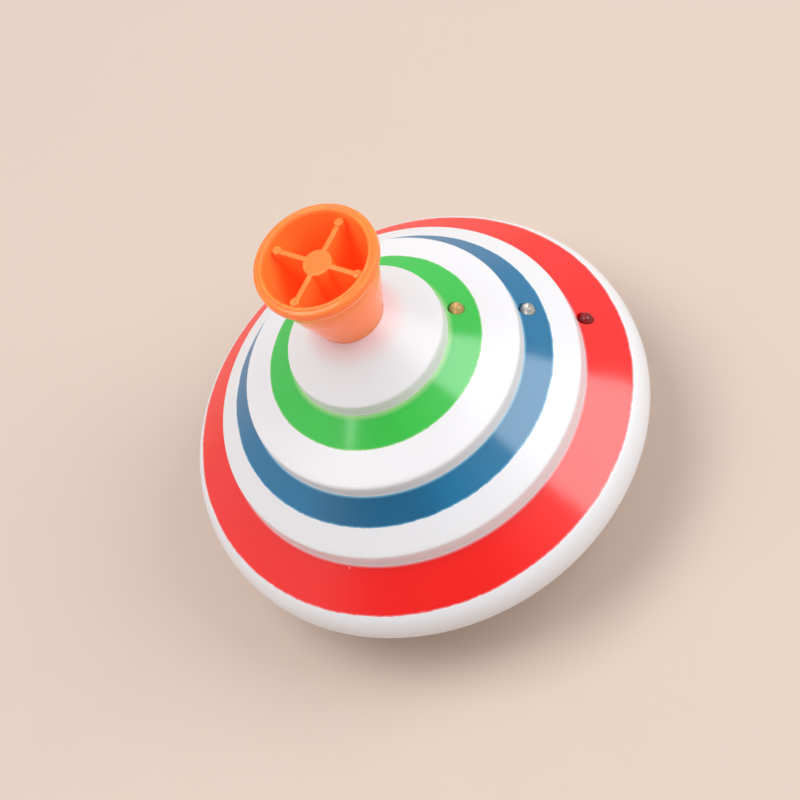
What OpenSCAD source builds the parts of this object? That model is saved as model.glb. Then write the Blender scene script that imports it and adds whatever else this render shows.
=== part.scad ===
// Light and music spinning top: a stepped plastic shell that stands on a steel tip
// and is twisted by a flared knob. Z is the spin axis and the tip touches z = 0.
// The line of three lamps runs along +X and the battery compartment is on -X.

/* [Body] */
// Radius of the body at its widest circle
body_r = 45; // [44.8:0.1:45.4]
// Height of the widest circle above the tip
belt_z = 19.3; // [19.1:0.1:19.6]
// Height of the seam between the two shells
seam_z = 18.3; // [18:0.1:18.6]
// Thickness of the moulded walls
wall = 1.8; // [1.7:0.05:1.9]
// Rounding of the body above the belt
rim_round = 5.8; // [5.5:0.1:6]
// Rounding of the body below the belt
belly_round = 4.6; // [4.4:0.1:4.8]

/* [Tiers] */
// Radius of the riser round the neck
riser_1_r = 14.9; // [14.7:0.1:15.2]
// Radius of the middle riser
riser_2_r = 26.6; // [26.4:0.1:26.8]
// Radius of the lowest riser
riser_3_r = 35.4; // [35.2:0.1:35.6]
// Height of the foot of the riser round the neck
riser_1_z = 49.3; // [49.1:0.1:49.5]
// Height of the foot of the middle riser
riser_2_z = 40.1; // [39.9:0.1:40.3]
// Height of the foot of the lowest riser
riser_3_z = 29.2; // [29:0.1:29.4]
// How far the upper two risers stand up
riser_h = 2.8; // [2.6:0.1:3]
// How far the lowest riser stands up
riser_3_h = 3.3; // [3.1:0.1:3.5]
// Rounding of each riser's lip
lip_round = 0.8; // [0.6:0.1:1]

/* [Neck and knob] */
// Height of the neck's top, where the knob sits
neck_z = 60.3; // [60:0.1:60.6]
// Radius of the neck's top
neck_r = 6.4; // [6.3:0.1:6.6]
// Height of the knob's rim, the highest point of the toy
knob_top = 79.2; // [79:0.1:80]
// Outer radius of the knob's rim
knob_rim_r = 11.5; // [11.4:0.1:11.7]
// Height of the band round the knob's rim
knob_band = 2.2; // [2:0.1:2.4]
// Inner radius of the knob's cup at the rim
knob_cup_r = 9.65; // [9.5:0.05:9.8]
// Radius of the knob's centre boss
knob_boss_r = 2.7; // [2.6:0.1:2.8]
// Thickness of the knob's four ribs
rib = 1; // [0.9:0.1:1.2]
// Depth of the ribs and the boss below the rim
rib_drop = 1.4; // [1.2:0.1:1.6]

/* [Lamps] */
// Radius of a lamp's lens
lamp_r = 1.4; // [1.35:0.05:1.45]
// How far the top of a lens stands above the surface round it
lamp_rise = 0.85; // [0.7:0.05:1]
// Distance of the inner lamp from the axis
lamp_1_x = 16.9; // [16.8:0.1:17.2]
// Distance of the middle lamp from the axis
lamp_2_x = 28.2; // [28.2:0.1:28.6]
// Distance of the outer lamp from the axis
lamp_3_x = 37; // [37:0.1:37.6]

/* [Base] */
// Height of the flat floor under the lower shell
floor_z = 11; // [10.8:0.1:11.2]
// Radius where the flat floor turns up to the belt
floor_r = 29.5; // [29.4:0.1:30]
// Radius of the nose that holds the steel tip
nose_r = 5; // [4.9:0.1:5.2]
// Radius of the steel tip's ball
tip_r = 3; // [2.9:0.1:3]
// Distance of the battery compartment from the axis
cell_x = 18; // [17.8:0.1:18.4]
// Distance of the loudspeaker from the axis
speaker_x = 19.5; // [19.3:0.1:19.8]

/* [Hidden] */
$fn = 64;

// Corners of the stepped outline, [radius, height]
lip_1 = [riser_1_r, riser_1_z + riser_h];
lip_2 = [riser_2_r, riser_2_z + riser_h];
lip_3 = [riser_3_r, riser_3_z + riser_3_h];
foot_1 = [riser_1_r, riser_1_z];
foot_2 = [riser_2_r, riser_2_z];
foot_3 = [riser_3_r, riser_3_z];
neck_angle = fall(neck_corner(), lip_1);
tier_1_angle = fall(foot_1, lip_2);
tier_2_angle = fall(foot_2, lip_3);
rim_centre = [body_r - rim_round, belt_z];
tier_3_angle = tangent_fall(foot_3, rim_centre, rim_round);
belly_centre = [body_r - belly_round, belt_z];
floor_edge = [floor_r, floor_z];
belly_angle = tangent_rise(floor_edge, belly_centre, belly_round);

// The knob's seat in the neck
seat_z = neck_z - 3;
web_z = seat_z - 1.8;
spigot_r = 4.3;
spigot_flat = 3.4;
cup_floor_z = 66;
cup_floor_r = 6.3;

// Lamps: [distance, height of the surface at the lamp's axis]
lamp_1 = [lamp_1_x, foot_1[1] - (lamp_1_x - riser_1_r) * tan(tier_1_angle)];
lamp_2 = [lamp_2_x, foot_2[1] - (lamp_2_x - riser_2_r) * tan(tier_2_angle)];
lamp_3 = [lamp_3_x, foot_3[1] - (lamp_3_x - riser_3_r) * tan(tier_3_angle)];
lamp_len = 5.3;
lamp_flange_r = 1.9;
lamp_flange_h = 1;
lamp_gap = 0.05;
sleeve_r = 2.9;
lead_gap = 0.75;

// Circuit board on its two posts
board_z = 27.6;
board_t = 1.2;
board_r = 18;
board_top = board_z + board_t;
post_y = 15;
post_r = 2.6;

// What stands on the board: [x, y] and sizes
chip_place = [-8, 2];
chip_blob_r = 6;
chip_h = 1.6;
transistor_place = [0, 8];
transistor_r = 2.2;
transistor_h = 4.5;
transistor_flat = 1.3;
resistor_place = [6, 5];
resistor_r = 1.1;
resistor_len = 6;
resistor_lead_r = 0.3;
resistor_lead_len = 9.2;
capacitor_place = [-2, 3.5];
capacitor_r = 2;
capacitor_h = 5;

// Cells, LR1130 size, stacked over the door
cell_r = 5.8;
cell_h = 3.05;
door_t = 2.2;
door_gap = 0.3;
ledge_z = floor_z + door_t + door_gap;
cells_z = ledge_z + 0.4;
tub_r = cell_r + 0.4;
tub_wall = 1.6;
spring_h = 1.4;
tub_roof = cells_z + 3 * cell_h + spring_h;
door_r = 8.2;
ear_y = 10.6;
ear_r = 3.2;

contact_t = 0.5;
strip_w = 3.6;
strip_h = 10.2;

// Loudspeaker
speaker_r = 10;
speaker_z = floor_z + wall + 0.6;
speaker_h = 5.6;
magnet_r = 3.1;
magnet_h = 3;
sound_hole_r = 0.9;
sound_ring_r = 4.4;

// Screws: [head radius, head height, shank radius, length under the head]
housing_screw = [2.2, 1.5, 1.1, 8.5];
board_screw = [2, 1.3, 1, 6];
door_screw = [1.9, 1.2, 1, 7];
door_head_z = 1.4;
neck_screw = [2.6, 1.6, 1.25, 11];
boss_r = 36;
boss_turns = [60, 180, 300];
screw_sink = 5.2;

// Switch on the board: a weighted leaf that swings out against a post
leaf_y = -6;
leaf_root = -4;
leaf_len = 10;
leaf_t = 0.2;
leaf_h = 2.6;
leaf_tail = 0.8;
weight_r = 1.6;
weight_h = 3.4;
switch_base_size = [4, 3, 4.2];
stop_y = leaf_y - 4.2;
stop_r = 0.5;
stop_h = 4.6;

wire_r = 0.45;

function neck_corner() = [neck_r, neck_z];
function fall(upper, lower) = atan2(upper[1] - lower[1], lower[0] - upper[0]);
function tangent_fall(p, c, r) =
    let (d = c - p) -atan2(d[1], d[0]) - asin(r / norm(d));
function tangent_rise(p, c, r) =
    let (d = c - p) atan2(d[1], d[0]) - asin(r / norm(d));
function arc(c, r, from, to, steps = 8) =
    [for (i = [0:steps]) let (a = from + (to - from) * i / steps) c + r * [cos(a), sin(a)]];

// A corner between a sloping tier and an upright riser, drawn in by the wall's thickness
function drawn_in(corner, angle, inset) =
    corner + [-inset, inset * tan(angle) - inset / cos(angle)];
function lip(corner, angle, inset) =
    inset > 0 ? [drawn_in(corner, angle, inset)]
    : arc(corner - [lip_round, lip_round / tan(45 + angle / 2)], lip_round, 90 - angle, 0);

function upper_outline(inset) = concat(
    inset > 0 ? [[neck_r + (neck_z - inset / cos(neck_angle) - web_z) / tan(neck_angle), web_z]]
        : [neck_corner()],
    lip(lip_1, neck_angle, inset),
    [drawn_in(foot_1, tier_1_angle, inset)],
    lip(lip_2, tier_1_angle, inset),
    [drawn_in(foot_2, tier_2_angle, inset)],
    lip(lip_3, tier_2_angle, inset),
    [drawn_in(foot_3, tier_3_angle, inset)],
    arc(rim_centre, rim_round - inset, 90 - tier_3_angle, 0),
    [[body_r - inset - 0.1, seam_z]]);

// Space under the upper shell's surface, drawn in by inset
module upper_space(inset) {
    outline = upper_outline(inset);
    rotate_extrude() polygon(concat([[0, outline[0][1]]], outline, [[0, seam_z]]));
}

function lower_outline(inset) = concat(
    [floor_edge + inset * [-tan(belly_angle / 2), 1]],
    arc(belly_centre, belly_round - inset, belly_angle - 90, 0),
    [[body_r - inset, seam_z + 4]]);

// Space above the lower shell's surface, drawn in by inset
module lower_space(inset, top) {
    intersection() {
        rotate_extrude() polygon(concat([[0, floor_z + inset]], lower_outline(inset), [[0, seam_z + 4]]));
        cylinder(r = body_r + 1, h = top);
    }
}

module at_bosses() {
    for (turn = boss_turns) rotate(turn) translate([boss_r, 0, 0]) children();
}

// Crosshead screw, head down, the head's underside at z = 0 and the shank upward
module screw(size) {
    slot_w = size[0] * 0.26;
    slot_l = size[0] * 1.2;
    difference() {
        union() {
            translate([0, 0, -size[1]]) cylinder(r = size[0], h = size[1]);
            cylinder(r = size[2], h = size[3]);
        }
        for (turn = [0, 90]) rotate(turn)
            translate([-slot_l / 2, -slot_w / 2, -size[1] - 0.01]) cube([slot_l, slot_w, size[1] * 0.5]);
    }
}

module lamp_holes() {
    for (lamp = [lamp_1, lamp_2, lamp_3])
        translate([lamp[0], 0, lamp[1] - lamp_len - 3]) cylinder(r = lamp_r + lamp_gap, h = lamp_len + 6);
}

module upper_shell() {
    color("white") difference() {
        union() {
            difference() {
                upper_space(0);
                upper_space(wall);
                // opens the cavity right down to the seam
                translate([0, 0, seam_z - 1]) cylinder(r = body_r - wall - 0.05, h = 1.01);
            }
            intersection() {
                upper_space(wall * 0.4);
                union() {
                    for (lamp = [lamp_1, lamp_2, lamp_3])
                        translate([lamp[0], 0, lamp[1] - lamp_len + lamp_flange_h])
                            cylinder(r = sleeve_r, h = lamp_len + 3);
                    at_bosses() translate([0, 0, seam_z + 0.9]) cylinder(r = 3, h = 16);
                }
            }
        }
        lamp_holes();
        at_bosses() translate([0, 0, seam_z]) cylinder(r = housing_screw[2], h = 6.8);
        // keyed socket and screw hole for the knob
        intersection() {
            translate([0, 0, seat_z]) cylinder(r = spigot_r + 0.1, h = 4);
            translate([-spigot_flat - 0.1, -8, seat_z]) cube([16, 16, 4]);
        }
        translate([0, 0, web_z - 1]) cylinder(r = neck_screw[2] + 0.15, h = 4);
    }
}

// Plan of the battery door, grown by some margin
module door_plan(grow) {
    circle(r = door_r + grow);
    square([2 * (ear_r + grow), 2 * ear_y], center = true);
    for (side = [-1, 1]) translate([0, side * ear_y]) circle(r = ear_r + grow);
}

module lower_shell() {
    color("ghostwhite") difference() {
        union() {
            difference() {
                lower_space(0, seam_z);
                lower_space(wall, seam_z + 1);
            }
            // lap lip inside the seam
            translate([0, 0, seam_z - 1.6]) difference() {
                cylinder(r = body_r - wall - 0.25, h = 3.4);
                translate([0, 0, -1]) cylinder(r = body_r - wall - 1.4, h = 6);
            }
            // nose
            rotate_extrude() polygon(concat(
                [[0, 2.4], [nose_r, 2.4]],
                arc([nose_r + 3, floor_z - 3], 3, 180, 90),
                [[nose_r + 3, floor_z + wall], [0, floor_z + wall]]));
            translate([0, 0, 3]) cylinder(r = nose_r - 0.6, h = floor_z);
            // battery compartment
            translate([-cell_x, 0, 0]) {
                translate([0, 0, floor_z]) linear_extrude(ledge_z + 1.4 - floor_z) door_plan(1.5);
                translate([0, 0, floor_z]) cylinder(r = tub_r + tub_wall, h = tub_roof + 1.2 - floor_z);
                for (side = [-1, 1]) translate([0, side * ear_y, floor_z])
                    cylinder(r = ear_r - 0.4, h = door_screw[3] + 3);
            }
            // loudspeaker seat
            translate([speaker_x, 0, floor_z]) difference() {
                cylinder(r = speaker_r + 1.2, h = 4.4);
                translate([0, 0, wall]) cylinder(r = speaker_r - 0.8, h = 4);
                translate([0, 0, wall + 0.6]) cylinder(r = speaker_r + 0.05, h = 4);
            }
            for (side = [-1, 1]) translate([0, side * post_y, floor_z]) cylinder(r = post_r, h = board_z - floor_z);
            intersection() {
                lower_space(wall * 0.4, seam_z + 0.9);
                at_bosses() cylinder(r = 3.2, h = seam_z + 2);
            }
        }
        // nose bore and the recess round the ball
        translate([0, 0, 1]) cylinder(r = tip_r, h = 5);
        translate([0, 0, 5]) cylinder(r = 2, h = 6.5);
        // door pocket, cell hole and the holes for the door's screws
        translate([-cell_x, 0, 0]) {
            translate([0, 0, floor_z - 1]) linear_extrude(ledge_z + 1 - floor_z) door_plan(0.3);
            translate([0, 0, floor_z]) cylinder(r = tub_r, h = tub_roof - floor_z);
            translate([0, 0, floor_z]) cylinder(r = 2.6, h = 20);
            translate([tub_r - 0.65, -2.2, floor_z]) cube([1.3, 4.4, tub_roof + 2 - floor_z]);
            for (side = [-1, 1]) translate([0, side * ear_y, floor_z])
                cylinder(r = door_screw[2] + 0.05, h = door_screw[3] + 2);
        }
        // sound holes
        translate([speaker_x, 0, floor_z - 1]) {
            cylinder(r = sound_hole_r, h = 4);
            for (turn = [0:60:300]) rotate(turn) translate([sound_ring_r, 0, 0])
                cylinder(r = sound_hole_r, h = 4);
        }
        for (side = [-1, 1]) translate([0, side * post_y, board_z - 6]) cylinder(r = board_screw[2], h = 7);
        at_bosses() {
            translate([0, 0, floor_z]) cylinder(r = housing_screw[0] + 0.3, h = screw_sink);
            translate([0, 0, floor_z]) cylinder(r = housing_screw[2] + 0.15, h = 12);
        }
    }
}

module knob() {
    band_z = knob_top - knob_band;
    rib_top = knob_top - rib_drop;
    color("orangered") difference() {
        union() {
            difference() {
                rotate_extrude() polygon(concat(
                    [[0, neck_z], [neck_r - 0.1, neck_z]],
                    [[7.1, 63], [8.2, 66.6], [9.5, 71], [knob_rim_r - 0.5, band_z]],
                    arc([knob_rim_r - 0.4, band_z + 0.4], 0.4, -90, 0, 4),
                    arc([knob_rim_r - 0.5, knob_top - 0.5], 0.5, 0, 90, 4),
                    [[0, knob_top]]));
                rotate_extrude() polygon([[0, cup_floor_z], [cup_floor_r, cup_floor_z],
                    [knob_cup_r - 0.5, band_z], [knob_cup_r, knob_top - 0.3],
                    [knob_cup_r + 0.3, knob_top + 0.1], [0, knob_top + 0.1]]);
            }
            // boss, ribs and the ribs' end posts
            translate([0, 0, cup_floor_z - 1]) cylinder(r = knob_boss_r, h = rib_top - cup_floor_z + 1);
            intersection() {
                rotate_extrude() polygon([[0, cup_floor_z - 1], [cup_floor_r + 0.6, cup_floor_z - 1],
                    [knob_cup_r - 0.1, rib_top], [0, rib_top]]);
                for (turn = [0, 90]) rotate(45 + turn)
                    translate([-knob_rim_r, -rib / 2, cup_floor_z - 1]) cube([2 * knob_rim_r, rib, 20]);
            }
            for (turn = [45:90:315]) rotate(turn) translate([knob_cup_r - 1.2, 0, band_z - 1])
                cylinder(r = 1, h = rib_top + 0.3 - band_z + 1);
            // keyed spigot
            intersection() {
                translate([0, 0, seat_z]) cylinder(r = spigot_r, h = neck_z - seat_z + 0.5);
                translate([-spigot_flat, -8, seat_z]) cube([16, 16, 4]);
            }
        }
        translate([0, 0, seat_z - 1]) cylinder(r = neck_screw[2], h = neck_screw[3] - 0.8);
    }
}

module knob_screw() {
    color("silver") translate([0, 0, web_z]) screw(neck_screw);
}

module lamp(place) {
    dome_h = lamp_len + lamp_rise - lamp_r;
    translate([place[0], 0, place[1] - lamp_len]) {
        cylinder(r = lamp_flange_r, h = lamp_flange_h);
        cylinder(r = lamp_r, h = dome_h);
        translate([0, 0, dome_h]) sphere(r = lamp_r);
    }
}

module lamp_inner() { color("goldenrod") lamp(lamp_1); }
module lamp_middle() { color("lightyellow") lamp(lamp_2); }
module lamp_outer() { color("darkred") lamp(lamp_3); }

// Round wire along a cubic curve through four control points
function curve_point(p, t) = pow(1 - t, 3) * p[0] + 3 * t * pow(1 - t, 2) * p[1]
    + 3 * t * t * (1 - t) * p[2] + t * t * t * p[3];
function curve_way(p, t) = let (d = pow(1 - t, 2) * (p[1] - p[0]) + 2 * t * (1 - t) * (p[2] - p[1])
    + t * t * (p[3] - p[2])) d / norm(d);
module wire(p, rings = 14, sides = 8) {
    side_way = [0, 1, 0];
    points = [for (i = [0:rings]) let (
        t = i / rings, way = curve_way(p, t), across = cross(way, side_way), a = across / norm(across),
        b = cross(way, a))
        for (k = [0:sides - 1]) curve_point(p, t) + wire_r * (cos(360 * k / sides) * a + sin(360 * k / sides) * b)];
    sides_faces = [for (i = [0:rings - 1]) for (k = [0:sides - 1])
        let (n = (k + 1) % sides, low = i * sides, high = low + sides) [low + k, low + n, high + n, high + k]];
    polyhedron(points, concat(sides_faces, [[for (k = [sides - 1:-1:0]) k]],
        [[for (k = [0:sides - 1]) rings * sides + k]]));
}

// The pair of wires from a lamp to the board's top face
module lamp_wires(place, board_x, spread) {
    foot = place[1] - lamp_len;
    for (side = [-1, 1]) wire([
        [place[0], side * lead_gap, foot], [place[0], side * lead_gap, foot - 7],
        [board_x, side * spread, board_top + 7], [board_x, side * spread, board_top]]);
}

module lamp_wires_inner() { color("firebrick") lamp_wires(lamp_1, 13.5, 1.2); }
module lamp_wires_middle() { color("seagreen") lamp_wires(lamp_2, 15.5, 3.6); }
module lamp_wires_outer() {
    foot = lamp_3[1] - lamp_len;
    color("royalblue") for (side = [-1, 1]) wire([
        [lamp_3[0], side * lead_gap, foot], [lamp_3[0], side * lead_gap, foot - 5],
        [15, side * 6, board_z - 7], [15, side * 6, board_z]]);
}

module circuit_board() {
    color("darkgreen") difference() {
        translate([0, 0, board_z]) cylinder(r = board_r, h = board_t);
        for (side = [-1, 1]) translate([0, side * post_y, board_z - 1])
            cylinder(r = board_screw[2] + 0.2, h = 4);
    }
}

module board_screws() {
    color("silver") for (side = [-1, 1])
        translate([0, side * post_y, board_top]) mirror([0, 0, 1]) screw(board_screw);
}

// Chip under a low blob of resin
module music_chip() {
    color("black") translate([chip_place[0], chip_place[1], board_top]) intersection() {
        translate([0, 0, chip_h - chip_blob_r]) sphere(r = chip_blob_r);
        cylinder(r = chip_blob_r, h = chip_h);
    }
}

module transistor() {
    color("dimgray") translate([transistor_place[0], transistor_place[1], board_top]) difference() {
        cylinder(r = transistor_r, h = transistor_h);
        translate([-transistor_r, transistor_flat, -1]) cube([2 * transistor_r, transistor_r, transistor_h + 2]);
    }
}

module resistor() {
    color("tan") translate([resistor_place[0], resistor_place[1], board_top + resistor_r]) rotate([0, 90, 0]) {
        translate([0, 0, -resistor_len / 2]) cylinder(r = resistor_r, h = resistor_len);
        translate([0, 0, -resistor_lead_len / 2]) cylinder(r = resistor_lead_r, h = resistor_lead_len);
    }
}

module capacitor() {
    color("navy") translate([capacitor_place[0], capacitor_place[1], board_top])
        cylinder(r = capacitor_r, h = capacitor_h);
}

module switch_base() {
    size = switch_base_size;
    slot = [leaf_tail + 0.5, leaf_t + 0.6, size[2]];
    color("black") translate([leaf_root - size[0], leaf_y - size[1] / 2, board_top]) difference() {
        cube(size);
        translate([size[0] - slot[0] + 0.1, (size[1] - slot[1]) / 2, 0.9]) cube(slot);
    }
}

module switch_blade() {
    leaf_z = board_top + 1.2;
    color("goldenrod") {
        translate([leaf_root - leaf_tail, leaf_y - leaf_t / 2, leaf_z])
            cube([leaf_len + leaf_tail, leaf_t, leaf_h]);
        translate([leaf_root + leaf_len, leaf_y, leaf_z - 0.4]) cylinder(r = weight_r, h = weight_h);
    }
}

module switch_post() {
    color("silver") translate([leaf_root + leaf_len, stop_y, board_top]) {
        cylinder(r = stop_r, h = stop_h);
        cylinder(r = 2 * stop_r, h = 0.5);
    }
}

module speaker_basket() {
    color("dimgray") translate([speaker_x, 0, speaker_z]) rotate_extrude() polygon([
        [9.1, 0], [speaker_r, 0], [speaker_r, 1.4], [7.4, 3.4], [5.4, 3.4], [5.4, speaker_h], [0, speaker_h],
        [0, speaker_h - 0.6], [4.8, speaker_h - 0.6], [4.8, 2.8], [7.2, 2.8], [9.1, 1.3]]);
}

module speaker_magnet() {
    color("slategray") translate([speaker_x, 0, speaker_z + speaker_h - 0.6 - magnet_h])
        cylinder(r = magnet_r, h = magnet_h);
}

// Paper cone with its surround and voice coil
module speaker_cone() {
    color("black") translate([speaker_x, 0, speaker_z + 0.9]) rotate_extrude() polygon([
        [0, 0.3], [3.5, 0.3], [4, 0], [7.6, 0], [8.6, -0.3], [8.6, 0], [7.6, 0.3], [4.4, 0.3],
        [4.4, 3], [3.6, 3], [3.6, 0.6], [0, 0.6]]);
}

module speaker_wires() {
    color("dimgray") for (side = [-1, 1]) wire([
        [speaker_x - 4, side * 2, speaker_z + speaker_h], [speaker_x - 4, side * 2, speaker_z + 8],
        [10, side * 9, board_z - 4], [10, side * 9, board_z]], 8);
}

module cell(place) {
    translate([-cell_x, 0, cells_z + place * cell_h]) {
        cylinder(r = cell_r, h = cell_h * 0.82);
        cylinder(r = cell_r - 1, h = cell_h);
    }
}

module cell_lower() { color("silver") cell(0); }
module cell_middle() { color("silver") cell(1); }
module cell_upper() { color("silver") cell(2); }

// Coned contact spring over the stack, as stepped turns
module negative_spring() {
    spring_z = cells_z + 3 * cell_h;
    color("gold") translate([-cell_x, 0, spring_z]) difference() {
        union() {
            cylinder(r = 2.4, h = contact_t);
            translate([0, 0, contact_t]) cylinder(r = 3.2, h = contact_t);
            translate([0, 0, 2 * contact_t]) cylinder(r = 4, h = spring_h - 2 * contact_t);
        }
        translate([0, 0, -1]) cylinder(r = 1.5, h = spring_h + 2);
    }
}

module positive_strip() {
    color("gold") translate([tub_r - cell_x - 0.35, -strip_w / 2, cells_z]) cube([contact_t, strip_w, strip_h]);
}

module power_wires() {
    strip_x = tub_r - cell_x - 0.1;
    color("crimson") {
        wire([[strip_x, 0, cells_z + strip_h], [strip_x, 0, cells_z + strip_h + 2.2],
              [-11, -0.6, board_z - 1.2], [-11, -0.6, board_z]], 6);
        wire([[-16.4, 0, tub_roof], [-16.4, 0, tub_roof + 1.7],
              [-16.6, 0.5, board_z - 1.6], [-16.6, 0.5, board_z]], 6);
    }
}

module battery_door() {
    color("whitesmoke") translate([-cell_x, 0, floor_z]) difference() {
        linear_extrude(door_t) door_plan(0);
        for (side = [-1, 1]) translate([0, side * ear_y, -1]) {
            cylinder(r = door_screw[0] + 0.2, h = 1 + door_head_z + 0.1);
            cylinder(r = door_screw[2] + 0.05, h = 5);
        }
        // finger-nail notch
        translate([-door_r, 0, -0.6]) rotate([0, 0, 90]) cube([5, 2.4, 2.4], center = true);
    }
}

module door_screw_at(side) {
    color("silver") translate([-cell_x, side * ear_y, floor_z + door_head_z]) screw(door_screw);
}

module door_screw_front() { door_screw_at(-1); }
module door_screw_rear() { door_screw_at(1); }

module housing_screws() {
    color("silver") at_bosses() translate([0, 0, floor_z + screw_sink]) screw(housing_screw);
}

module spin_tip() {
    color("silver") {
        translate([0, 0, tip_r]) sphere(r = tip_r);
        translate([0, 0, tip_r]) cylinder(r = 2, h = 8);
    }
}

upper_shell();
lower_shell();
knob();
knob_screw();
lamp_inner();
lamp_middle();
lamp_outer();
lamp_wires_inner();
lamp_wires_middle();
lamp_wires_outer();
circuit_board();
board_screws();
music_chip();
transistor();
resistor();
capacitor();
switch_base();
switch_blade();
switch_post();
speaker_basket();
speaker_magnet();
speaker_cone();
speaker_wires();
cell_lower();
cell_middle();
cell_upper();
negative_spring();
positive_strip();
power_wires();
battery_door();
door_screw_front();
door_screw_rear();
housing_screws();
spin_tip();
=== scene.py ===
"""Looks of a plastic light-and-music spinning top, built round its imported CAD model.

Z is the spin axis, the steel tip stands on z = 0 and the three lamps lie along +X.
Lengths are written in millimetres and turned into metres where a mesh is made.
"""
import math

import bmesh
import bpy
from mathutils import Matrix, Vector, noise


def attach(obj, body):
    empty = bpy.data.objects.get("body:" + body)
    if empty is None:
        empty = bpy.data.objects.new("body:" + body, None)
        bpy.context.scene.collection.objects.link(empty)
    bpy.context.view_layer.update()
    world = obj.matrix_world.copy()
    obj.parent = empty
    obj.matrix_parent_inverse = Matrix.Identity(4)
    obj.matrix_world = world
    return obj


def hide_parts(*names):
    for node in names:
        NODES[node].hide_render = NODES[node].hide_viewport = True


MM = 0.001
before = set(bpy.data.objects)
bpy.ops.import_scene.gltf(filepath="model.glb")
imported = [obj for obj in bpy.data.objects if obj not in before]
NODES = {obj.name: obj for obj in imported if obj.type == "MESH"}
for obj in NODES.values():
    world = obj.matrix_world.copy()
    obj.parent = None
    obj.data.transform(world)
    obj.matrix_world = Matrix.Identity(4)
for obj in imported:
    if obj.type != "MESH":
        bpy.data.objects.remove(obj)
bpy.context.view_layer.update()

# Outline of the body, as in the CAD model
BODY_R = 45
SEAM_Z = 18.3
WALL = 1.8
RIM_ROUND = 5.8
BELT_Z = 19.3
LIP_ROUND = 0.8
FOOT_ROUND = 0.25
NECK_TOP = (6.4, 60.3)
SEAT_Z = 57.3
WEB_Z = 55.5
LIPS = ((14.9, 52.1), (26.6, 42.9), (35.4, 32.5))
FEET = ((14.9, 49.3), (26.6, 40.1), (35.4, 29.2))

# Screw bosses and lamp collars inside the upper shell
BOSS_RING_R = 36
BOSS_TURNS = (60, 180, 300)
SCREW_BOSS_R = 3
BOSS_FOOT_Z = SEAM_Z + 0.9
BOSS_REACH_Z = 35
SCREW_HOLE_R = 1.1
SCREW_HOLE_TOP = SEAM_Z + 6.8
COLLAR_R = 2.9

# Knob
KNOB_TOP = 79.2
KNOB_RIM_R = 11.5
KNOB_WAVE = 0.05
KNOB_WAVE_SIZE = 3
CUP_R = 9.65
CUP_FLOOR = (6.3, 66)
BOSS_R = 2.7
RIB = 1.0
RIB_TOP = 77.8
POST_R = 0.9
POST_TOP = RIB_TOP + 0.3

# Lamps: name, distance from the axis, tier it stands on
LAMPS = (("inner", 16.9, 0), ("middle", 28.2, 1), ("outer", 37.0, 2))
LENS_R = 1.4
HOLE_R = 1.45
LAMP_LEN = 5.3
LAMP_RISE = 0.85
FLANGE_R = 1.9


# ---------------------------------------------------------------- outlines

def rounded(corners, turn=math.radians(8)):
    """Points along an open outline of (r, z, radius) corners, each rounded by its radius."""
    points = []
    last = len(corners) - 1
    for i, (r, z, radius) in enumerate(corners):
        corner = Vector((r, z))
        if i in (0, last) or radius <= 0:
            points.append((r, z))
            continue
        back = (Vector(corners[i - 1][:2]) - corner).normalized()
        ahead = (Vector(corners[i + 1][:2]) - corner).normalized()
        between = back.angle(ahead)
        start = corner + back * radius / math.tan(between / 2)
        centre = corner + (back + ahead).normalized() * radius / math.sin(between / 2)
        sweep = math.copysign(math.pi - between, ahead.x * back.y - ahead.y * back.x)
        steps = max(2, math.ceil(abs(sweep) / turn))
        for k in range(steps + 1):
            arm = Matrix.Rotation(sweep * k / steps, 2) @ (start - centre)
            points.append((centre.x + arm.x, centre.y + arm.y))
    return points


def split(points, step):
    """The same outline with no stretch longer than step."""
    finer = [points[0]]
    for (r0, z0), (r1, z1) in zip(points, points[1:]):
        count = max(1, math.ceil(math.hypot(r1 - r0, z1 - z0) / step))
        for k in range(1, count + 1):
            finer.append((r0 + (r1 - r0) * k / count, z0 + (z1 - z0) * k / count))
    return finer


def drawn_in(corners, depth):
    """An outline of (r, z, radius) corners moved to the right of its own direction by depth."""
    moved = []
    for i, (r, z, radius) in enumerate(corners):
        corner = Vector((r, z))
        ways = [(Vector(b[:2]) - Vector(a[:2])).normalized()
                for a, b in zip(corners[max(0, i - 1):i + 1], corners[max(0, i - 1) + 1:i + 2])]
        sides = [Vector((way.y, -way.x)) for way in ways]
        middle = sum(sides, Vector((0, 0))).normalized()
        shift = middle * depth / middle.dot(sides[0])
        bend = ways[0].x * ways[-1].y - ways[0].y * ways[-1].x
        moved.append((r + shift.x, z + shift.y, max(0, radius + depth * math.copysign(1, bend))))
    return moved


def rim_corner():
    """Where the lowest tier, touching the rim's rounding, would meet the body's side."""
    foot = Vector(FEET[2])
    way = Vector((BODY_R - RIM_ROUND, BELT_Z)) - foot
    fall = -math.atan2(way.y, way.x) - math.asin(RIM_ROUND / way.length)
    return (BODY_R, foot.y - (BODY_R - foot.x) * math.tan(fall), RIM_ROUND)


def turned(turn, distance):
    """Place at a distance from the axis, turn degrees round from +X."""
    return (distance * math.cos(math.radians(turn)), distance * math.sin(math.radians(turn)), 0)


def body_corners():
    """Corners of the body's outside, from the neck's top down to the seam."""
    corners = [(*NECK_TOP, 0)]
    for lip, foot in zip(LIPS, FEET):
        corners += [(*lip, LIP_ROUND), (*foot, FOOT_ROUND)]
    return corners + [rim_corner(), (BODY_R, SEAM_Z, 0)]


def surface_z(r, tier):
    """Height of a tier's slope at distance r from the axis."""
    foot = FEET[tier]
    end = LIPS[tier + 1] if tier < 2 else rim_corner()
    return foot[1] + (end[1] - foot[1]) * (r - foot[0]) / (end[0] - foot[0])


# ---------------------------------------------------------------- meshes

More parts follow.
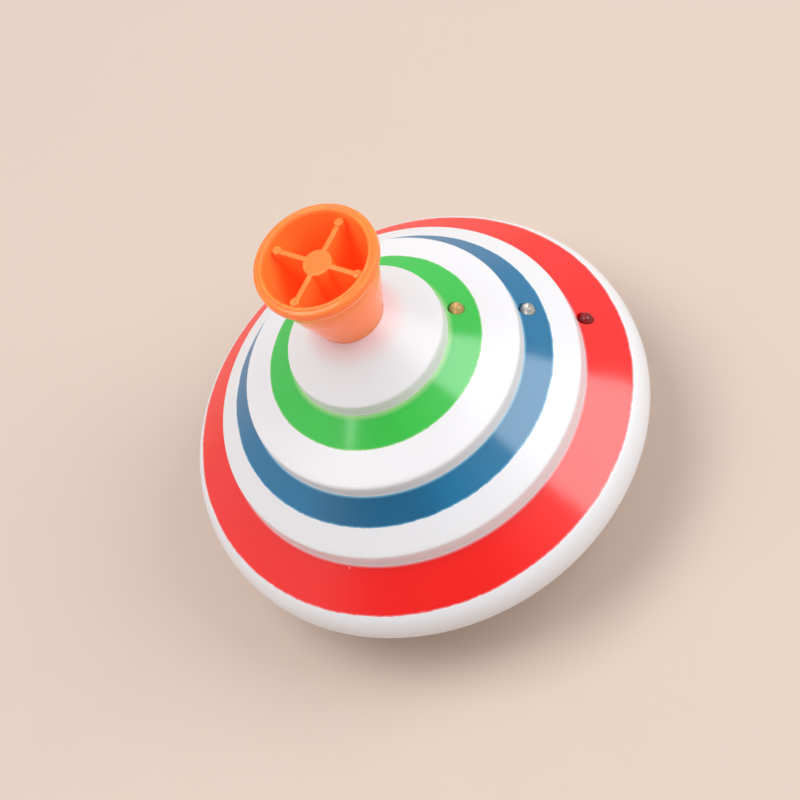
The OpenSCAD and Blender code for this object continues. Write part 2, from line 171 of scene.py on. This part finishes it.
def add_lathe(bm, outline, spokes=96, place=(0, 0, 0), closed=False):
    """Adds a surface of revolution about the upright axis through place."""
    rings = []
    for r, z in outline:
        angles = [2 * math.pi * k / spokes for k in range(spokes)] if r > 1e-6 else [0]
        rings.append([bm.verts.new((place[0] + r * math.cos(a), place[1] + r * math.sin(a), place[2] + z))
                      for a in angles])
    following = rings[1:] + rings[:1] if closed else rings[1:]
    for low, high in zip(rings, following):
        for k in range(spokes):
            n = k + 1
            corners = (low[k % len(low)], low[n % len(low)], high[n % len(high)], high[k % len(high)])
            unique = list(dict.fromkeys(corners))
            if len(unique) > 2:
                bm.faces.new(unique)


def piece_from(name, bm):
    """Turns a bmesh in millimetres into a linked object in metres."""
    bmesh.ops.remove_doubles(bm, verts=bm.verts, dist=1e-4)
    bmesh.ops.recalc_face_normals(bm, faces=bm.faces)
    bmesh.ops.scale(bm, vec=(MM, MM, MM), verts=bm.verts)
    mesh = bpy.data.meshes.new(name)
    bm.to_mesh(mesh)
    bm.free()
    piece = bpy.data.objects.new(name, mesh)
    bpy.context.scene.collection.objects.link(piece)
    return piece


def lathe(name, outline, spokes=96, place=(0, 0, 0), closed=False):
    """A surface of revolution as a piece of its own."""
    bm = bmesh.new()
    add_lathe(bm, outline, spokes, place, closed)
    return piece_from(name, bm)


def apply_modifiers(piece):
    """Replaces the piece's mesh by what its modifiers make of it."""
    depsgraph = bpy.context.evaluated_depsgraph_get()
    mesh = bpy.data.meshes.new_from_object(piece.evaluated_get(depsgraph))
    piece.modifiers.clear()
    piece.data = mesh


def combine(piece, tool, operation):
    """Boolean of two closed pieces; the tool is used up."""
    modifier = piece.modifiers.new("combine", "BOOLEAN")
    modifier.operation = operation
    modifier.solver = "MANIFOLD"
    modifier.object = tool
    apply_modifiers(piece)
    bpy.data.objects.remove(tool)


def disc(place, radius, low, high, spokes=48):
    """Plain upright cylinder, for combining."""
    return lathe("disc", [(0, low), (radius, low), (radius, high), (0, high)], spokes, place)


def combine_all(piece, tools, operation):
    for tool in tools:
        combine(piece, tool, operation)


def smooth_faces(piece, sharp=35):
    """Smooth shading, broken where faces meet at more than sharp degrees."""
    piece.data.shade_smooth()
    piece.data.set_sharp_from_angle(angle=math.radians(sharp))


def stand_in(piece, material, node):
    """Gives a rebuilt piece its material and puts it in the place of a CAD node of the top."""
    piece.data.materials.clear()
    piece.data.materials.append(material)
    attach(piece, "top")
    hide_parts(node)


# ---------------------------------------------------------------- materials

class Finish:
    """A node material; its methods add nodes that work in millimetres of object space."""

    def __init__(self, name, **sockets):
        self.material = bpy.data.materials.new(name)
        self.material.use_nodes = True
        tree = self.material.node_tree
        self.nodes, self.links = tree.nodes, tree.links
        self.shader = self.nodes["Principled BSDF"]
        for socket, value in sockets.items():
            label = socket.replace("_", " ").title().replace("Ior", "IOR")
            self.shader.inputs[label].default_value = value
        self.texture_space = self.nodes.new("ShaderNodeTexCoord")
        scaled = self.node("ShaderNodeVectorMath", self.texture_space.outputs["Object"], operation="SCALE")
        scaled.inputs["Scale"].default_value = 1 / MM
        self.place = scaled.outputs["Vector"]

    def node(self, kind, *inputs, **settings):
        """Adds a node; each input is an output to link, a value, or None to leave it be."""
        made = self.nodes.new(kind)
        for setting, value in settings.items():
            setattr(made, setting, value)
        for socket, value in zip(made.inputs, inputs):
            if isinstance(value, bpy.types.NodeSocket):
                self.links.new(value, socket)
            elif value is not None:
                socket.default_value = value
        return made

    def math(self, operation, *inputs):
        return self.node("ShaderNodeMath", *inputs, operation=operation).outputs[0]

    def noise(self, size, detail=2.0, stretch=None):
        """Noise from 0 to 1 whose features are about size millimetres."""
        place = self.place
        if stretch:
            place = self.node("ShaderNodeVectorMath", place, stretch, operation="MULTIPLY").outputs[0]
        made = self.node("ShaderNodeTexNoise", place)
        made.inputs["Scale"].default_value = 1 / size
        made.inputs["Detail"].default_value = detail
        return made.outputs["Fac"]

    def step(self, value, low, high, to_low=0.0, to_high=1.0):
        """Smooth step of a value from one range to another."""
        made = self.node("ShaderNodeMapRange", value, low, high, to_low, to_high,
                         interpolation_type="SMOOTHSTEP")
        return made.outputs["Result"]

    def mix(self, factor, first, second):
        """Blend of two colours, each a tuple or an output to link."""
        made = self.nodes.new("ShaderNodeMix")
        made.data_type = "RGBA"
        for socket, value in ((made.inputs[0], factor), (made.inputs[6], first), (made.inputs[7], second)):
            if isinstance(value, bpy.types.NodeSocket):
                self.links.new(value, socket)
            elif isinstance(value, tuple):
                socket.default_value = (*value, 1)
            else:
                socket.default_value = value
        return made.outputs[2]

    def colour(self, value):
        self.links.new(value, self.shader.inputs["Base Color"])

    def vary_roughness(self, size, low, high):
        """Uneven gloss in patches of about size millimetres."""
        self.links.new(self.step(self.noise(size, 3), 0.3, 0.7, low, high), self.shader.inputs["Roughness"])

    def sway(self, size, detail, width):
        """Noise centred on zero that ranges over width."""
        return self.math("MULTIPLY_ADD", self.noise(size, detail), width, -width / 2)

    def bump(self, height, depth):
        """Bump whose height of 0 to 1 stands for depth millimetres."""
        made = self.nodes.new("ShaderNodeBump")
        made.inputs["Distance"].default_value = depth * MM
        self.links.new(height, made.inputs["Height"])
        self.links.new(made.outputs["Normal"], self.shader.inputs["Normal"])


WHITE = (0.86, 0.85, 0.87)
SHADED_WHITE = (0.84, 0.83, 0.85)
# pink of the painted glow round the knob
PAINTED_KNOB_GLOW = (0.93, 0.62, 0.62)

# Sprayed bands, one under each lip: colour, darker colour for both the grain and the painted shade, paler
# colour along the riser's foot and the outer edge, radius of the outer edge, width of the pale strip at the
# riser's foot
BANDS = (
    ((0.036, 0.560, 0.066), (0.030, 0.500, 0.055), (0.36, 0.70, 0.25), 20.52, 1.1),
    ((0.004, 0.180, 0.370), (0.003, 0.108, 0.235), (0.20, 0.52, 0.72), 31.12, 0.5),
    ((0.990, 0.007, 0.004), (0.960, 0.004, 0.002), (0.95, 0.34, 0.36), 43.08, 0.5),
)


def base_plastic():
    """Injection-moulded plastic: faint clouding, uneven gloss and a fine orange peel."""
    finish = Finish("base_plastic", ior=1.5)
    finish.colour(finish.mix(finish.noise(9, 3), WHITE, SHADED_WHITE))
    finish.vary_roughness(4, 0.289, 0.408)
    finish.bump(finish.noise(2.5, 3), 0.012)
    return finish.material


def painted_shell():
    """White plastic with three sprayed bands whose masked edges are slightly ragged, with painted shade on
    one side of the bands and a painted glow near the neck.
    """
    finish = Finish("painted_shell", ior=1.5, specular_ior_level=0.95, subsurface_weight=0.25,
                    subsurface_scale=0.003, subsurface_radius=(1.0, 0.9, 0.85))
    finish.bump(finish.noise(2.5, 3), 0.01)
    parts = finish.node("ShaderNodeSeparateXYZ", finish.place)
    radius = finish.math("SQRT", finish.math("ADD", finish.math("POWER", parts.outputs[0], 2.0),
                                             finish.math("POWER", parts.outputs[1], 2.0)))
    facing = finish.node("ShaderNodeSeparateXYZ", finish.texture_space.outputs["Normal"]).outputs[2]
    outside = finish.step(facing, -0.4, -0.2)
    unevenness = finish.math("ADD", finish.sway(0.8, 3, 0.24), finish.sway(6, 2, 0.36))
    edge = finish.math("ADD", radius, unevenness)
    grain = finish.step(finish.noise(0.22, 2), 0.3, 0.8, 0.0, 0.35)
    # painted shade: the bands take their darker tone on one side, where less light falls on them
    shaded_side = finish.node("ShaderNodeVectorMath", finish.place, (-0.38, -0.92, 0),
                            operation="DOT_PRODUCT")
    toward_shaded_side = finish.math("DIVIDE", shaded_side.outputs["Value"], radius)
    painted_shade = finish.step(toward_shaded_side, 0.86, 0.98, 0.0, 0.65)
    # the darker tone follows both the random grain and the painted shade
    depth = finish.math("ADD", grain, painted_shade)
    bare_specks = finish.step(finish.noise(0.5, 1), 0.83, 0.85, 1.0, 0.0)
    # painted glow: a pink tint near the neck's top stands in for the orange knob's light shining through
    # and onto the white plastic
    white = finish.mix(finish.noise(9, 3), WHITE, SHADED_WHITE)
    colour = finish.mix(finish.step(radius, 6.2, 10.5), PAINTED_KNOB_GLOW, white)
    painted = 0.0
    for (riser_r, _), (light, grain_and_shade_tone, pale_tone, outer, fringe) in zip(LIPS, BANDS):
        starts = finish.step(radius, riser_r + 0.02, riser_r + 0.10)
        ends = finish.step(edge, outer - 0.05, outer + 0.05, 1.0, 0.0)
        cover = finish.math("MULTIPLY", finish.math("MULTIPLY", starts, ends), outside)
        cover = finish.math("MULTIPLY", cover, bare_specks)
        # paler colour along the riser's foot and towards the outer edge of each band
        full_tone = finish.math("MULTIPLY", finish.step(radius, riser_r, riser_r + fringe),
                            finish.step(edge, outer - 0.30, outer - 0.05, 1.0, 0.35))
        colour = finish.mix(cover, colour, finish.mix(full_tone, pale_tone, finish.mix(depth, light, grain_and_shade_tone)))
        painted = finish.math("MAXIMUM", painted, cover)
    finish.colour(colour)
    gloss = finish.math("MULTIPLY_ADD", finish.noise(4, 3), 0.05, 0.13)
    satin = finish.math("MULTIPLY_ADD", finish.noise(4, 3), 0.08, 0.32)
    # paint is glossier than the bare plastic
    roughness = finish.node("ShaderNodeMix", painted, None, satin, gloss)
    finish.links.new(roughness.outputs[0], finish.shader.inputs["Roughness"])
    return finish.material


def knob_plastic():
    """Translucent orange plastic, a little uneven in gloss, with a painted glow: a faint even emission
    stands in for light carried through the plastic.
    """
    # painted glow: a faint orange emission stands in for light passing through the knob
    finish = Finish("knob_plastic", ior=1.5, subsurface_weight=0.9, subsurface_scale=0.004,
                    subsurface_radius=(1.0, 0.22, 0.06), emission_strength=0.13)
    finish.shader.inputs["Emission Color"].default_value = (1.0, 0.12, 0.02, 1)
    finish.colour(finish.mix(finish.noise(3, 2), (1.0, 0.262, 0.050), (1.0, 0.235, 0.040)))
    finish.vary_roughness(2, 0.14, 0.22)
    finish.bump(finish.noise(1.8, 2), 0.02)
    return finish.material


def metal(name, colour, roughness, brushed=(1, 1, 1)):
    """Bare metal with a faint grain, drawn out along the axes where brushed is below 1."""
    finish = Finish(name, metallic=1.0)
    finish.colour(finish.mix(finish.noise(0.8, 4), colour, tuple(0.8 * part for part in colour)))
    finish.vary_roughness(0.6, roughness * 0.7, roughness * 1.4)
    finish.bump(finish.noise(0.2, 3, brushed), 0.006)
    return finish.material


def dull(name, colour, roughness=0.5, size=1.0, depth=0.02):
    """Rubber, paper, resin or sleeve: clouded colour over a fine grain."""
    finish = Finish(name, ior=1.5)
    finish.colour(finish.mix(finish.noise(size * 2, 4), colour, tuple(0.72 * part for part in colour)))
    finish.vary_roughness(size, roughness * 0.8, min(1, roughness * 1.2))
    finish.bump(finish.noise(size * 0.4, 4), depth)
    return finish.material


def lens(name, colour, transmission):
    """Clear or tinted epoxy of a lamp."""
    finish = Finish(name, ior=1.5, transmission_weight=transmission)
    finish.colour(finish.mix(finish.noise(1.2, 1), colour, tuple(0.9 * part for part in colour)))
    finish.vary_roughness(0.8, 0.04, 0.09)
    finish.bump(finish.noise(0.8, 1), 0.01)
    return finish.material


def banded_resistor():
    """Tan body with colour rings round its length."""
    finish = Finish("resistor_body", ior=1.5)
    along = finish.node("ShaderNodeSeparateXYZ", finish.place).outputs[0]
    colour = finish.mix(finish.noise(1, 3), (0.52, 0.36, 0.20), (0.45, 0.30, 0.16))
    rings = ((4.0, (0.25, 0.05, 0.02)), (5.1, (0.01, 0.01, 0.01)), (6.2, (0.55, 0.03, 0.02)),
             (7.9, (0.6, 0.38, 0.06)))
    for middle, ring in rings:
        gap = finish.math("ABSOLUTE", finish.math("SUBTRACT", along, middle))
        colour = finish.mix(finish.step(gap, 0.26, 0.34, 1.0, 0.0), colour, ring)
    finish.colour(colour)
    finish.vary_roughness(1, 0.3, 0.45)
    return finish.material


def board_laminate():
    """Phenolic board: green mask over fine copper runs."""
    finish = Finish("board_laminate", ior=1.5)
    runs = finish.node("ShaderNodeTexBrick", finish.place, offset=0.5)
    runs.inputs["Scale"].default_value = 0.3
    runs.inputs["Mortar Size"].default_value = 0.06
    colour = finish.mix(finish.noise(2, 4), (0.012, 0.105, 0.035), (0.008, 0.075, 0.024))
    finish.colour(finish.mix(runs.outputs["Fac"], colour, (0.03, 0.19, 0.06)))
    finish.vary_roughness(1, 0.25, 0.4)
    finish.bump(runs.outputs["Fac"], 0.03)
    return finish.material


def dress(names, material):
    """Gives CAD nodes that are carried over a procedural material."""
    for name in names:
        piece = NODES[name]
        for slot in piece.material_slots:
            slot.material = material


def dress_cad_nodes():
    steel = metal("plated_steel", (0.62, 0.61, 0.58), 0.28)
    brass = metal("brass_leaf", (0.78, 0.56, 0.24), 0.25, (0.1, 1, 1))
    tinned = metal("tinned_wire", (0.70, 0.70, 0.68), 0.25)
    dress(["knob_screw", "board_screws", "housing_screws"], steel)
    dress(["door_screw_front", "door_screw_rear"], steel)
    dress(["spin_tip"], metal("polished_steel", (0.72, 0.71, 0.70), 0.12))
    dress(["cell_lower", "cell_middle", "cell_upper"], metal("cell_steel", (0.66, 0.66, 0.65), 0.2))
    dress(["negative_spring", "switch_post"], tinned)
    dress(["positive_strip", "switch_blade"], brass)
    dress(["speaker_basket"], metal("speaker_steel", (0.45, 0.45, 0.44), 0.35))
    dress(["speaker_magnet"], dull("ferrite", (0.06, 0.06, 0.065), 0.6, 0.5))
    dress(["speaker_cone"], dull("paper_cone", (0.02, 0.02, 0.02), 0.85, 0.4, 0.05))
    dress(["music_chip", "transistor", "switch_base"], dull("black_resin", (0.015, 0.015, 0.016), 0.35))
    dress(["capacitor"], dull("blue_sleeve", (0.02, 0.045, 0.20), 0.3))
    dress(["resistor"], banded_resistor())
    dress(["circuit_board"], board_laminate())
    dress(["lamp_wires_inner", "power_wires"], dull("red_wire", (0.55, 0.02, 0.02), 0.4))
    dress(["lamp_wires_middle"], dull("green_wire", (0.03, 0.32, 0.07), 0.4))
    dress(["lamp_wires_outer"], dull("blue_wire", (0.02, 0.09, 0.45), 0.4))
    dress(["speaker_wires"], dull("grey_wire", (0.16, 0.16, 0.17), 0.4))
    dress(["lower_shell", "battery_door"], base_plastic())


# ---------------------------------------------------------------- stage

def place_camera():
    """Long lens from above the front, rolled because the toy leans in the picture."""
    azimuth, elevation, roll = math.radians(-78.7), math.radians(55.43), math.radians(33.4)
    target = Vector((-1.5, 1.9, 25.5)) * MM
    back = Vector((math.cos(azimuth) * math.cos(elevation), math.sin(azimuth) * math.cos(elevation),
                   math.sin(elevation)))
    data = bpy.data.cameras.new("camera")
    data.lens = 117
    data.sensor_width = 36
    data.clip_start = 0.01
    camera = bpy.data.objects.new("camera", data)
    bpy.context.scene.collection.objects.link(camera)
    camera.location = target + back * 0.495
    level = (-back).to_track_quat("-Z", "Y").to_matrix()
    camera.rotation_euler = (level @ Matrix.Rotation(-roll, 3, "Z")).to_euler()
    bpy.context.scene.camera = camera


def lay_floor():
    """Pale matt table top."""
    bm = bmesh.new()
    bmesh.ops.create_grid(bm, x_segments=8, y_segments=8, size=2500)
    floor = piece_from("floor", bm)
    finish = Finish("table_top", ior=1.45)
    finish.colour(finish.mix(finish.noise(60, 3), (0.70, 0.56, 0.475), (0.68, 0.545, 0.46)))
    finish.vary_roughness(8, 0.5, 0.6)
    finish.bump(finish.noise(0.6, 3), 0.02)
    floor.data.materials.append(finish.material)


def area_light(name, place, facing, up, size, power, colour=(1, 1, 1)):
    """Rectangular softbox at place in metres, with its height along up."""
    data = bpy.data.lights.new(name, "AREA")
    data.shape = "RECTANGLE"
    data.size, data.size_y = size
    data.energy = power
    data.color = colour
    light = bpy.data.objects.new(name, data)
    bpy.context.scene.collection.objects.link(light)
    away = -Vector(facing).normalized()
    side = Vector(up).cross(away).normalized()
    turn = Matrix((side, away.cross(side), away)).transposed().to_4x4()
    light.matrix_world = Matrix.Translation(place) @ turn


def light_stage():
    """A large softbox beyond the lamps' side, one overhead, and a pale surround."""
    out = Vector((0.888, -0.413, 0.201))
    up = Vector((-0.043, 0.361, 0.931))
    across = Vector((0.457, 0.835, -0.303))
    distance = 0.8
    side_place = distance * (out + 0.75 * up + 0.047 * across)
    side_size = (0.958 * distance, distance)
    area_light("side_softbox", side_place, -out, up, side_size, 5.5, (0.93, 0.98, 1.0))
    area_light("top_softbox", Vector((-0.40, 0.10, 1.15)), (0.33, -0.08, -1), (0, 1, 0), (0.8, 0.8), 7.0)
    bpy.context.scene.world = surround()
    bpy.context.scene.view_settings.view_transform = "Standard"


def surround():
    """A world that gets dimmer towards one direction, from bright to dim strength."""
    dim_side = Vector((-0.30, -0.64, 0.71)).normalized()
    starts_at, full_at = 0.74, 0.97
    bright, dim = 0.60, 0.26
    world = bpy.data.worlds.new("surround")
    world.use_nodes = True
    nodes, links = world.node_tree.nodes, world.node_tree.links
    place = nodes.new("ShaderNodeTexCoord")
    toward = nodes.new("ShaderNodeVectorMath")
    toward.operation = "DOT_PRODUCT"
    toward.inputs[1].default_value = dim_side
    dimming = nodes.new("ShaderNodeMapRange")
    dimming.interpolation_type = "SMOOTHSTEP"
    for socket, value in zip(dimming.inputs[1:5], (starts_at, full_at, bright, dim)):
        socket.default_value = value
    links.new(place.outputs["Generated"], toward.inputs[0])
    links.new(toward.outputs["Value"], dimming.inputs["Value"])
    links.new(dimming.outputs["Result"], nodes["Background"].inputs["Strength"])
    nodes["Background"].inputs["Color"].default_value = (1, 0.99, 1, 1)
    return world


# ---------------------------------------------------------------- body

def hollow_outline():
    """Closed section of the upper shell: outside, seam, inside, web and the knob's seat."""
    outer = body_corners()
    inner = drawn_in(outer, WALL)
    slope = (inner[1][1] - inner[0][1]) / (inner[1][0] - inner[0][0])
    inner[0] = (inner[0][0] + (WEB_Z - inner[0][1]) / slope, WEB_Z, 0)
    seat_r = 4.4
    hole_r = 1.4
    return (split(rounded(outer), 0.9) + split(rounded(inner), 2.5)[::-1]
            + [(hole_r, WEB_Z), (hole_r, SEAT_Z), (seat_r, SEAT_Z), (seat_r, NECK_TOP[1])])


def core(depth):
    """Solid that fills the upper shell up to depth under its outside."""
    outline = rounded(drawn_in(body_corners(), depth))
    return lathe("core", [(0, outline[0][1])] + outline + [(0, SEAM_Z)], 192)


def build_upper_shell():
    """Stepped hollow cone with its screw bosses, lamp collars and lamp holes."""
    shell = lathe("upper_shell_moulding", hollow_outline(), 288, closed=True)
    ring = [turned(turn, BOSS_RING_R) for turn in BOSS_TURNS]
    bosses, *others = [disc(place, SCREW_BOSS_R, BOSS_FOOT_Z, BOSS_REACH_Z) for place in ring]
    combine_all(bosses, others, "UNION")
    lamp_feet = [((x, 0, 0), surface_z(x, tier) - LAMP_LEN) for _, x, tier in LAMPS]
    combine_all(bosses, [disc(place, COLLAR_R, foot + 1, foot + 8.3) for place, foot in lamp_feet], "UNION")
    combine(bosses, core(0.4 * WALL), "INTERSECT")
    combine(shell, bosses, "UNION")
    combine_all(shell, [disc(place, SCREW_HOLE_R, SEAM_Z - 1, SCREW_HOLE_TOP, 24) for place in ring],
                "DIFFERENCE")
    combine_all(shell, [disc(place, HOLE_R, foot - 3, foot + 9, 64) for place, foot in lamp_feet],
                "DIFFERENCE")
    smooth_faces(shell)
    stand_in(shell, painted_shell(), "upper_shell")


def knob_rib(turn):
    """One wall across the knob's cup with rounded top edges, cut to the inside of the cup."""
    low = CUP_FLOOR[1] - 0.8
    half = RIB / 2
    profile = rounded([(-half - 0.1, low, 0), (-half, RIB_TOP, 0.3), (half, RIB_TOP, 0.3),
                       (half + 0.1, low, 0)])
    bm = bmesh.new()
    ends = [[bm.verts.new((x, y, z)) for y, z in profile] for x in (-KNOB_RIM_R, KNOB_RIM_R)]
    for end in ends:
        bm.faces.new(end)
    for k in range(len(profile)):
        n = (k + 1) % len(profile)
        bm.faces.new((ends[0][k], ends[0][n], ends[1][n], ends[1][k]))
    spin = Matrix.Rotation(math.radians(turn), 3, "Z")
    bmesh.ops.rotate(bm, verts=bm.verts, cent=(0, 0, 0), matrix=spin)
    rib = piece_from("knob_rib", bm)
    limit = [(0, low - 1), (CUP_FLOOR[0] + 0.6, low - 1), (CUP_R + 0.1, RIB_TOP + 1), (0, RIB_TOP + 1)]
    combine(rib, lathe("rib_limit", limit), "INTERSECT")
    return rib


def knob_outline():
    """Closed section of the knob: seat, flared side, beaded rim, cup, boss and screw bore."""
    band_z = KNOB_TOP - 2.2
    rim_r = KNOB_RIM_R
    bore_r = 1.25
    bore_top = 66.5
    corners = [(bore_r, SEAT_Z, 0), (4.3, SEAT_Z, 0), (4.3, NECK_TOP[1], 0), (6.3, NECK_TOP[1], 0.15),
               (6.5, 61.2, 3), (7.1, 63, 8), (8.2, 66.6, 20), (9.35, 71, 20), (10.35, 75.4, 2.5),
               (11.0, band_z - 0.1, 0.3), (rim_r, band_z + 0.1, 0.3), (rim_r, KNOB_TOP - 0.45, 0.45),
               (rim_r - 0.75, KNOB_TOP - 0.12, 0.2), (rim_r - 0.95, KNOB_TOP - 0.22, 0.1),
               (rim_r - 1.1, KNOB_TOP, 0.15), (rim_r - 1.55, KNOB_TOP, 0.2), (CUP_R, KNOB_TOP - 0.5, 0.3),
               (9.15, 76.5, 3), (*CUP_FLOOR, 1.2), (BOSS_R + 0.15, CUP_FLOOR[1], 0.4),
               (BOSS_R, RIB_TOP, 0.35), (0, RIB_TOP, 0)]
    return split(rounded(corners), 0.6) + [(0, bore_top), (bore_r, bore_top)]


def build_knob():
    """Flared cup with a beaded rim, four ribs and a centre boss; its side is a little wavy."""
    knob = lathe("knob_moulding", knob_outline(), 192, closed=True)
    for vertex in knob.data.vertices:
        flat = Vector((vertex.co.x, vertex.co.y, 0))
        if flat.length > 6.6 * MM and 62 * MM < vertex.co.z < 76.8 * MM:
            wave = noise.noise(vertex.co / (KNOB_WAVE_SIZE * MM))
            vertex.co += flat.normalized() * KNOB_WAVE * MM * wave
    for turn in (45, 135):
        combine(knob, knob_rib(turn), "UNION")
    post = rounded([(0, 76, 0), (POST_R, 76, 0.3), (POST_R, POST_TOP, 0.4), (0, POST_TOP, 0)])
    for turn in range(45, 360, 90):
        combine(knob, lathe("knob_post", post, 32, turned(turn, CUP_R - 1.2)), "UNION")
    smooth_faces(knob, 40)
    stand_in(knob, knob_plastic(), "knob")


def build_lens(name, x, foot, dome_z, material):
    """Epoxy body of a lamp: a flange, a straight side and a dome."""
    angles = [math.radians(7.5 * k) for k in range(12)]
    dome = [(LENS_R * math.cos(a), dome_z + LENS_R * math.sin(a)) for a in angles]
    side = rounded([(0, foot, 0), (FLANGE_R, foot, 0.15), (FLANGE_R, foot + 1, 0.15),
                    (LENS_R, foot + 1, 0.1), (LENS_R, dome_z - 0.2, 0)])
    glass = lathe("lens_" + name, side + dome + [(0, dome_z + LENS_R)], 64, (x, 0, 0))
    smooth_faces(glass)
    stand_in(glass, material, "lamp_" + name)


def build_leads(name, x, foot, dome_z, material):
    """The two legs inside a lamp, one of them with the cup that holds the chip."""
    bm = bmesh.new()
    cup = rounded([(0, foot + 0.3, 0), (0.35, foot + 0.3, 0), (0.3, dome_z - 1.1, 0),
                   (0.75, dome_z - 0.5, 0.1), (0.75, dome_z - 0.1, 0.05), (0.6, dome_z - 0.1, 0.05),
                   (0.3, dome_z - 0.45, 0.05), (0, dome_z - 0.45, 0)])
    add_lathe(bm, cup, 32, (x, -0.35, 0))
    post = rounded([(0, foot + 0.3, 0), (0.25, foot + 0.3, 0), (0.3, dome_z - 0.2, 0.08),
                    (0, dome_z - 0.2, 0)])
    add_lathe(bm, post, 24, (x, 0.75, 0))
    leads = piece_from("leads_" + name, bm)
    smooth_faces(leads)
    leads.data.materials.append(material)
    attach(leads, "top")


def build_lamps():
    epoxies = {"inner": lens("amber_epoxy", (0.95, 0.60, 0.20), 0.5),
               "middle": lens("clear_epoxy", (0.93, 0.90, 0.84), 0.65),
               "outer": lens("red_epoxy", (0.38, 0.008, 0.010), 0.5)}
    lead_frame = metal("lead_frame", (0.80, 0.78, 0.74), 0.2)
    for name, x, tier in LAMPS:
        foot = surface_z(x, tier) - LAMP_LEN
        dome_z = foot + LAMP_LEN + LAMP_RISE - LENS_R
        build_lens(name, x, foot, dome_z, epoxies[name])
        build_leads(name, x, foot, dome_z, lead_frame)


place_camera()
lay_floor()
light_stage()
dress_cad_nodes()
build_upper_shell()
build_knob()
build_lamps()
